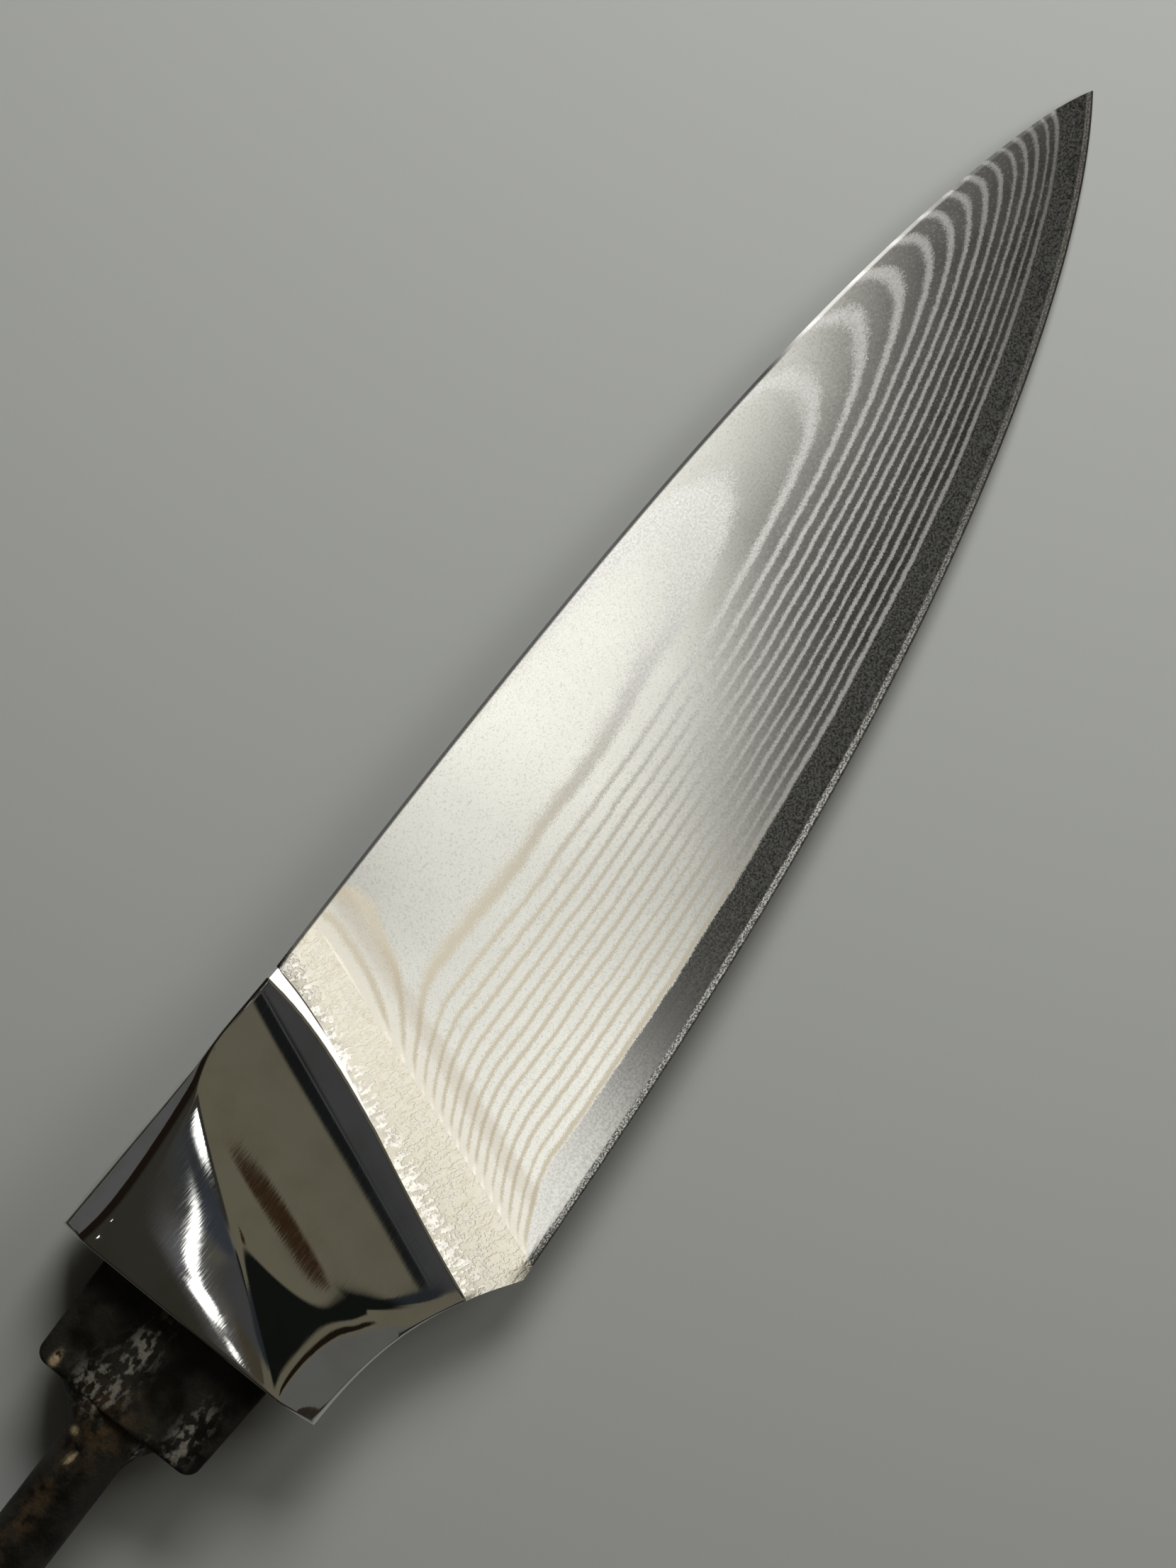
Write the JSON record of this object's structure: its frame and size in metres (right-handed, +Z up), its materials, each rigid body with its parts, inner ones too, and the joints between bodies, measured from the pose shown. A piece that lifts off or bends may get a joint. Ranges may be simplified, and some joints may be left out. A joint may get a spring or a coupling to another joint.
{
  "type": "fruit knife",
  "caption": "Small knife blade of layered steel with a ground core edge, a polished scooped bolster and a bare round tang ready for a handle.",
  "frame": {"origin": "below the middle of the whole part, on the surface that it lies on", "axes": "+X towards the tip of the blade, +Y towards the spine, +Z up through the thickness; the knife lies on its side"},
  "size_m": [0.1868, 0.0246, 0.0094],
  "materials": {
    "core_steel": "etched dark, grainy",
    "bright_steel": "smooth, stays bright after etching",
    "dark_steel": "matt after etching",
    "seam_steel": "etched weld, mottled",
    "polished_steel": "mirror polish on bare steel",
    "scaled_steel": "black forge scale, rough"
  },
  "bodies": {
    "root": {"core_plate": "core_steel", "sheet_front_01_bright": "bright_steel", "sheet_back_01_bright": "bright_steel", "sheet_front_02_dark": "dark_steel", "sheet_back_02_dark": "dark_steel", "sheet_front_03_bright": "bright_steel", "sheet_back_03_bright": "bright_steel", "sheet_front_04_dark": "dark_steel", "sheet_back_04_dark": "dark_steel", "sheet_front_05_bright": "bright_steel", "sheet_back_05_bright": "bright_steel", "sheet_front_06_dark": "dark_steel", "sheet_back_06_dark": "dark_steel", "sheet_front_07_bright": "bright_steel", "sheet_back_07_bright": "bright_steel", "sheet_front_08_dark": "dark_steel", "sheet_back_08_dark": "dark_steel", "sheet_front_09_bright": "bright_steel", "sheet_back_09_bright": "bright_steel", "sheet_front_10_dark": "dark_steel", "sheet_back_10_dark": "dark_steel", "sheet_front_11_bright": "bright_steel", "sheet_back_11_bright": "bright_steel", "sheet_front_12_dark": "dark_steel", "sheet_back_12_dark": "dark_steel", "sheet_front_13_bright": "bright_steel", "sheet_back_13_bright": "bright_steel", "sheet_front_14_dark": "dark_steel", "sheet_back_14_dark": "dark_steel", "sheet_front_15_bright": "bright_steel", "sheet_back_15_bright": "bright_steel", "sheet_front_16_dark": "dark_steel", "sheet_back_16_dark": "dark_steel", "sheet_front_17_bright": "bright_steel", "sheet_back_17_bright": "bright_steel", "sheet_front_18_dark": "dark_steel", "sheet_back_18_dark": "dark_steel", "sheet_front_19_bright": "bright_steel", "sheet_back_19_bright": "bright_steel", "sheet_front_20_dark": "dark_steel", "sheet_back_20_dark": "dark_steel", "sheet_front_21_bright": "bright_steel", "sheet_back_21_bright": "bright_steel", "sheet_front_22_dark": "dark_steel", "sheet_back_22_dark": "dark_steel", "sheet_front_23_bright": "bright_steel", "sheet_back_23_bright": "bright_steel", "sheet_front_24_dark": "dark_steel", "sheet_back_24_dark": "dark_steel", "sheet_front_25_bright": "bright_steel", "sheet_back_25_bright": "bright_steel", "sheet_front_26_dark": "dark_steel", "sheet_back_26_dark": "dark_steel", "sheet_front_27_bright": "bright_steel", "sheet_back_27_bright": "bright_steel", "weld_seam": "seam_steel", "bolster": "polished_steel", "tang_block": "scaled_steel", "tang_weld_bead": "scaled_steel", "tang_rod": "scaled_steel"}
  },
  "joints": []
}
